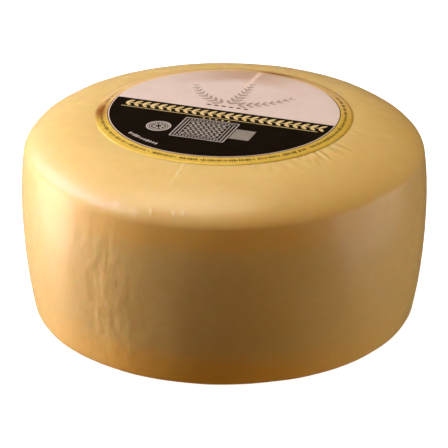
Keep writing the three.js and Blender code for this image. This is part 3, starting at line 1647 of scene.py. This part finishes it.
@dataclass(frozen=True)
class CreamFinish:
    """The pinkish cream field, with painted shade towards its back edge and a painted highlight along one
    crease.
    """

    pale: Colour = shown(232, 216, 202)
    deep: Colour = shown(226, 206, 190)
    back_shade: Colour = shown(194, 160, 130)
    back_shade_angle: float = 78.0
    back_shade_half_angle: float = 28.0
    back_shade_edge: tuple[float, float] = (46 * MM, 60 * MM)
    back_shade_waver: float = 6 * MM
    back_shade_strength: float = 0.85
    tone_cell: float = 16 * MM
    crease: Line = ((23.6 * MM, 66 * MM), (13.9 * MM, 41.8 * MM))
    crease_width: float = 1.5 * MM
    crease_highlight: Colour = shown(246, 224, 200)
    crease_highlight_strength: float = 0.8
    roughness: float = 0.45
    specular: float = 0.3

    def material(self) -> Material:
        """Makes the material.

        Returns:
            The material.
        """
        cream = Surface("cream_paper")
        place = cream.place()
        tone = cream.noise(place.vector, self.tone_cell, detail=3.0)
        colour = cream.blend(tone + 0.5, self.pale, self.deep)
        # painted shade: the cream darkens to brown towards its back edge, under the film
        back = place.facing(self.back_shade_angle, self.back_shade_half_angle)
        out = (place.radius + tone * self.back_shade_waver).step(*self.back_shade_edge)
        colour = cream.blend(back * out * self.back_shade_strength, colour, self.back_shade)
        # painted shade at the label's back edge
        colour = cream.blend(BACK_SHADE_PATCH.share(place), colour, BACK_SHADE_PATCH.colour)
        # painted highlight along the film's pleat over the cream
        crease = place.off_line(*self.crease).bell(self.crease_width)
        inputs = {
            "Base Color": cream.blend(crease * self.crease_highlight_strength, colour, self.crease_highlight),
            "Roughness": self.roughness,
            "Specular IOR Level": self.specular,
        }
        return cream.shaded("ShaderNodeBsdfPrincipled", inputs)


# The studio

@dataclass(frozen=True)
class Softbox:
    """A soft light that faces the cheese. Its angles are in degrees.

    The azimuth runs from the front towards the right, and the roll turns the light about its own beam.
    """

    name: str
    azimuth: float
    elevation: float
    distance: float
    width: float
    height: float
    power: float
    tint: tuple[float, float, float]
    roll: float = 0.0

    def place(self, aim: Vector) -> Object:
        """Hangs the light.

        Args:
            aim: The point that it faces.

        Returns:
            The light.
        """
        lamp = bpy.data.lights.new(self.name, "AREA")
        lamp.shape = "ELLIPSE"
        lamp.size = self.width
        lamp.size_y = self.height
        lamp.energy = self.power
        lamp.color = self.tint
        light = new_object(self.name, lamp)
        azimuth = math.radians(self.azimuth)
        elevation = math.radians(self.elevation)
        level = math.cos(elevation)
        away = Vector((math.sin(azimuth) * level, -math.cos(azimuth) * level, math.sin(elevation)))
        light.location = aim + away * self.distance
        roll = Quaternion((0.0, 0.0, 1.0), math.radians(self.roll))
        light.rotation_euler = ((-away).to_track_quat("-Z", "Y") @ roll).to_euler()
        return light


@dataclass
class Studio:
    """A plain white floor, soft lights and the camera."""

    aim_level: float = 51.48 * MM
    camera_elevation: float = 25.165
    camera_distance: float = 1.25
    lens: float = 160.97
    sensor_width: float = 36.0
    floor_radius: float = 9.0
    floor_sides: int = 96
    floor_colour: Colour = (0.8, 0.8, 0.8, 1.0)
    floor_glow: float = 0.97
    dim: Colour = (0.13, 0.071, 0.025, 1.0)
    softboxes: tuple[Softbox, ...] = (
        Softbox("low_left", -99.5, -5.0, 1.3, 0.85, 1.0, 19.4, (1.0, 0.76, 0.63)),
        Softbox("high_left", -100.0, 34.0, 1.3, 1.8, 0.5, 18.2, (0.6, 0.69, 1.0), 22.0),
        Softbox("right", 84.0, -6.0, 1.6, 1.8, 1.0, 10.8, (1.0, 0.87, 0.76)),
        Softbox("overhead", -72.0, 78.0, 1.2, 0.9, 0.9, 9.6, (0.96, 0.82, 0.65)),
    )

    def build(self) -> None:
        """Sets up the floor, the surroundings, the lights and the camera."""
        aim = Vector((0.0, 0.0, self.aim_level))
        self._floor()
        self._surroundings()
        for softbox in self.softboxes:
            softbox.place(aim)
        self._camera(aim)
        bpy.context.scene.view_settings.view_transform = "Standard"

    def _camera(self, aim: Vector) -> None:
        """Places the camera in front, looking down on the cheese.

        Args:
            aim: The point in the middle of the picture.
        """
        data = bpy.data.cameras.new("camera")
        data.lens = self.lens
        data.sensor_width = self.sensor_width
        camera = new_object("camera", data)
        elevation = math.radians(self.camera_elevation)
        back = Vector((0.0, -math.cos(elevation), math.sin(elevation))) * self.camera_distance
        camera.location = aim + back
        camera.rotation_euler = (math.pi / 2 - elevation, 0.0, 0.0)
        bpy.context.scene.camera = camera

    def _floor(self) -> None:
        """Lays the floor, which shines a little of its own, so that it stays white far from the lights."""
        shape = bmesh.new()
        size = {"segments": self.floor_sides, "radius": self.floor_radius}
        bmesh.ops.create_circle(shape, cap_ends=True, **size)
        mesh = bpy.data.meshes.new("floor")
        shape.to_mesh(mesh)
        shape.free()
        floor = new_object("floor", mesh)
        inputs = {
            "Base Color": self.floor_colour,
            "Roughness": 1.0,
            "Specular IOR Level": 0.0,
            "Emission Color": WHITE,
            "Emission Strength": self.floor_glow,
        }
        mesh.materials.append(Surface("white_floor").shaded("ShaderNodeBsdfPrincipled", inputs))
        floor.visible_diffuse = False
        floor.visible_glossy = False
        floor.visible_shadow = False

    def _surroundings(self) -> None:
        """Makes the surroundings white to look at and dim as a light."""
        world = bpy.data.worlds.new("studio")
        bpy.context.scene.world = world
        world.use_nodes = True
        world.node_tree.nodes.clear()
        graph = Graph(world.node_tree)
        seen = graph.field("ShaderNodeLightPath", {}, {}, output="Is Camera Ray")
        dim = graph.field("ShaderNodeBackground", {}, {"Color": self.dim, "Strength": 1.0})
        white = graph.field("ShaderNodeBackground", {}, {"Color": WHITE, "Strength": 1.0})
        shader = graph.field("ShaderNodeMixShader", {}, {0: seen, 1: dim, 2: white})
        graph.node("ShaderNodeOutputWorld", {}, {"Surface": shader})


# The whole

def set_back(pieces: Sequence[Object], wheel: Object) -> None:
    """Moves the meshes so that the wheel's middle is on the Z axis, because its waves move it a little.

    Args:
        pieces: Every piece.
        wheel: The piece whose middle counts.
    """
    places = np.zeros(len(wheel.data.vertices) * 3, np.float32)
    wheel.data.vertices.foreach_get("co", places)
    places = places.reshape(-1, 3)
    middle = (places.min(0) + places.max(0)) / 2
    move = Matrix.Translation((-float(middle[0]), -float(middle[1]), 0.0))
    for piece in pieces:
        piece.data.transform(move)


def attach(piece: Object, slot: str, *nodes: str) -> None:
    """Puts a piece on the wheel's body.

    Args:
        piece: The piece.
        slot: Not used.
        *nodes: The CAD nodes that it stands for.
    """
    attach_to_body(piece, BODY)
    if nodes:
        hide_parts(*nodes)
    faces = sum(len(face.vertices) - 2 for face in piece.data.polygons)
    LOG.info("%s: %d triangles", piece.name, faces)


def main() -> None:
    """Builds the filmed cheese, its label and the studio."""
    logging.basicConfig(level=logging.INFO, format="%(message)s")
    form = WheelForm()
    relief = RindRelief()
    layout = LabelLayout()
    cream = CreamFinish().material()
    black = InkFinish("black_ink", shown(7, 5, 3), shown(13, 9, 6), roughness=0.35, specular=0.03).material()
    ring = RingFinish().material()
    gold = InkFinish(
        "gold_print", shown(250, 232, 174), shown(228, 196, 118), roughness=0.35, metallic=0.1, cell=3 * MM
    ).material()
    pale = InkFinish("pale_print", shown(205, 198, 186), shown(188, 180, 168)).material()
    grey = InkFinish("grey_print", shown(150, 143, 132), shown(140, 133, 122)).material()
    dark = InkFinish("dark_print", shown(52, 42, 24), shown(66, 52, 28)).material()
    fading = RingFinish(
        "fading_print",
        gold=shown(66, 52, 24),
        deep_gold=shown(52, 40, 18),
        gold_to=104.0,
        faded_from=124.0,
        metallic=0.0,
    ).material()
    soft = InkFinish("soft_grey_print", shown(178, 160, 146), shown(166, 149, 136)).material()
    fields = {
        LabelField.CREAM: cream,
        LabelField.BLACK: black,
        LabelField.PALE_LINE: cream,
        LabelField.DARK_LINE: fading,
        LabelField.RING: ring,
    }
    cheese = CheeseBody(form, relief, RindFinish().material()).build()
    film = ShrinkFilm(form, relief, FilmFinish().material()).build()
    paper = LabelPaper(form, layout, fields).build()
    prints = Print(layout, paper, gold, pale, grey, dark, fading, soft).build()
    set_back([cheese, film, paper, *prints], film)
    attach(cheese, "filmed_rind", "wheel")
    attach(film, "filmed_rind", "wheel")
    attach(paper, "printed_label", "label")
    for piece in prints:
        attach(piece, "printed_label")
    Studio().build()


if __name__ == "__main__":
    main()
